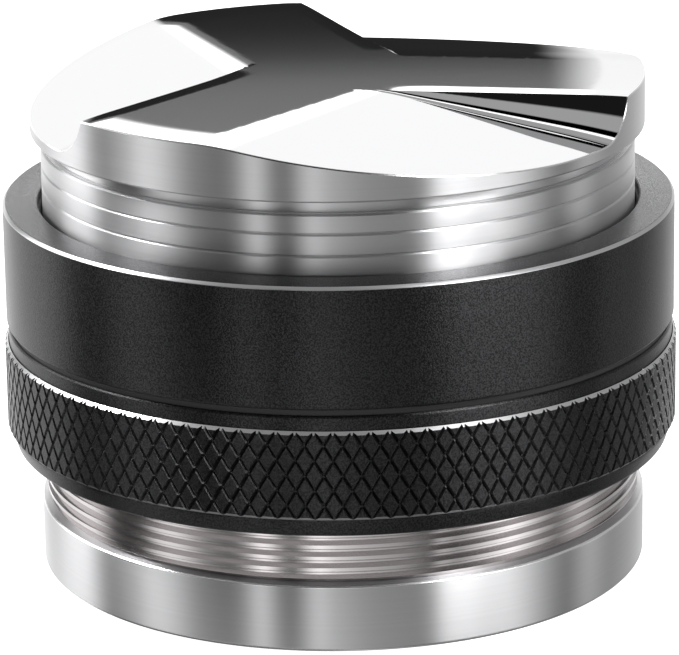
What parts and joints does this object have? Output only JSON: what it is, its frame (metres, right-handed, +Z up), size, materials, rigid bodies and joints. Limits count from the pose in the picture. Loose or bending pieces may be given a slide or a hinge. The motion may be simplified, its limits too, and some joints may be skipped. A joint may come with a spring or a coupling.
{
  "type": "espresso tamper",
  "caption": "Two-ended espresso tool: flat tamping disc below, three-blade coffee distributing face above, two black screw collars between them that set the depth of each end.",
  "frame": {"origin": "centre of the flat tamping face, on the surface the tool stands on", "axes": "+Z up along the tool's axis, from the tamping face to the distributing face; the camera of the picture looks along +Y"},
  "size_m": [0.0586, 0.0586, 0.0433],
  "materials": {
    "stainless_polished": "turned and polished stainless steel",
    "stainless_thread": "turned stainless steel thread",
    "screw_steel": "plain stainless screws",
    "black_anodised": "bead-blasted and anodised black",
    "black_plastic": "matt black acetal",
    "nylon": "natural nylon",
    "seal_rubber": "black food-grade rubber"
  },
  "bodies": {
    "fixed_tool": {"tamper_base": "stainless_polished", "threaded_core": "stainless_thread", "distributor_head": "stainless_polished", "base_screws": "screw_steel", "spring_washers": "screw_steel", "lock_screws": "screw_steel", "base_seal": "seal_rubber", "head_seal": "seal_rubber"},
    "upper_collar_slide": {"drag_ring": "seal_rubber"},
    "upper_collar_turn": {"upper_collar": "black_anodised"},
    "knurled_collar_slide": {"slip_washer": "black_plastic"},
    "knurled_collar_turn": {"knurled_collar": "black_anodised", "drag_insert": "nylon"}
  },
  "joints": [
    {"name": "upper_collar_rise", "type": "slide", "parent": "fixed_tool", "child": "upper_collar_slide", "axis": [0, 0, 1], "range_m": [0, 0.0062]},
    {"name": "upper_collar_screw", "type": "hinge", "parent": "upper_collar_slide", "child": "upper_collar_turn", "pos_m": [0, 0, 0.027], "axis": [0, 0, 1], "range_deg": [0, 2232]},
    {"name": "knurled_collar_drop", "type": "slide", "parent": "fixed_tool", "child": "knurled_collar_slide", "axis": [0, 0, 1], "range_m": [-0.00505, 0]},
    {"name": "knurled_collar_screw", "type": "hinge", "parent": "knurled_collar_slide", "child": "knurled_collar_turn", "pos_m": [0, 0, 0.016], "axis": [0, 0, 1], "range_deg": [-1818, 0]}
  ],
  "couplings": [
    {"joint": "upper_collar_rise", "follows": "upper_collar_screw", "m_per_rad": 0.00015915},
    {"joint": "knurled_collar_drop", "follows": "knurled_collar_screw", "m_per_rad": 0.00015915}
  ]
}
